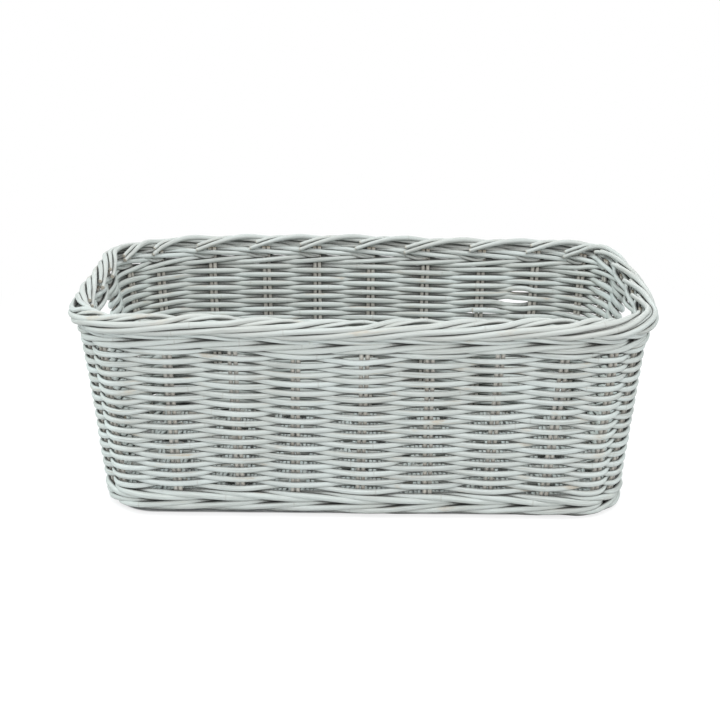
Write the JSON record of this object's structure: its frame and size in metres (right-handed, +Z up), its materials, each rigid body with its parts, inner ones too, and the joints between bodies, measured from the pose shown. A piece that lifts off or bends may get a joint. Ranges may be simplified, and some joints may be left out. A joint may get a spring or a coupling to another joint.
{
  "type": "storage basket",
  "caption": "Open rectangular woven rattan storage basket with rounded corners, leaning walls, a plaited rim and a hand-hole in each end.",
  "frame": {"origin": "middle of the footprint, on the floor", "axes": "+X along the basket's length, +Y from front to back, +Z up"},
  "size_m": [0.514, 0.298, 0.184],
  "materials": {
    "washed_rod": "white-washed rattan, matt",
    "border_rod": "white-washed rattan, matt",
    "stake": "thinly washed rattan, matt",
    "base_stick": "thinly washed rattan, matt",
    "base_strip": "white-washed rattan, matt"
  },
  "bodies": {
    "root": {"base_sticks": "base_stick", "base_strips": "base_strip", "foot_border": "washed_rod", "foot_wale": "washed_rod", "top_wale": "washed_rod", "front_stakes": "stake", "right_stakes": "stake", "back_stakes": "stake", "left_stakes": "stake", "front_right_corner_stakes": "stake", "back_right_corner_stakes": "stake", "back_left_corner_stakes": "stake", "front_left_corner_stakes": "stake", "weaver_row_01": "washed_rod", "weaver_row_02": "washed_rod", "weaver_row_03": "washed_rod", "weaver_row_04": "washed_rod", "weaver_row_05": "washed_rod", "weaver_row_06": "washed_rod", "weaver_row_07": "washed_rod", "weaver_row_08": "washed_rod", "weaver_row_09": "washed_rod", "weaver_row_10": "washed_rod", "weaver_row_11": "washed_rod", "weaver_row_12": "washed_rod", "weaver_row_13": "washed_rod", "weaver_row_14": "washed_rod", "weaver_row_15": "washed_rod", "weaver_row_16": "washed_rod", "weaver_row_17": "washed_rod", "weaver_row_18": "washed_rod", "weaver_row_19": "washed_rod", "weaver_row_20": "washed_rod", "weaver_row_21": "washed_rod", "weaver_row_22": "washed_rod", "weaver_row_23": "washed_rod", "weaver_row_24": "washed_rod", "weaver_row_25": "washed_rod", "weaver_row_26": "washed_rod", "weaver_row_27": "washed_rod", "weaver_row_28": "washed_rod", "weaver_row_29": "washed_rod", "weaver_row_30": "washed_rod", "front_border": "border_rod", "right_border": "border_rod", "back_border": "border_rod", "left_border": "border_rod"}
  },
  "joints": []
}
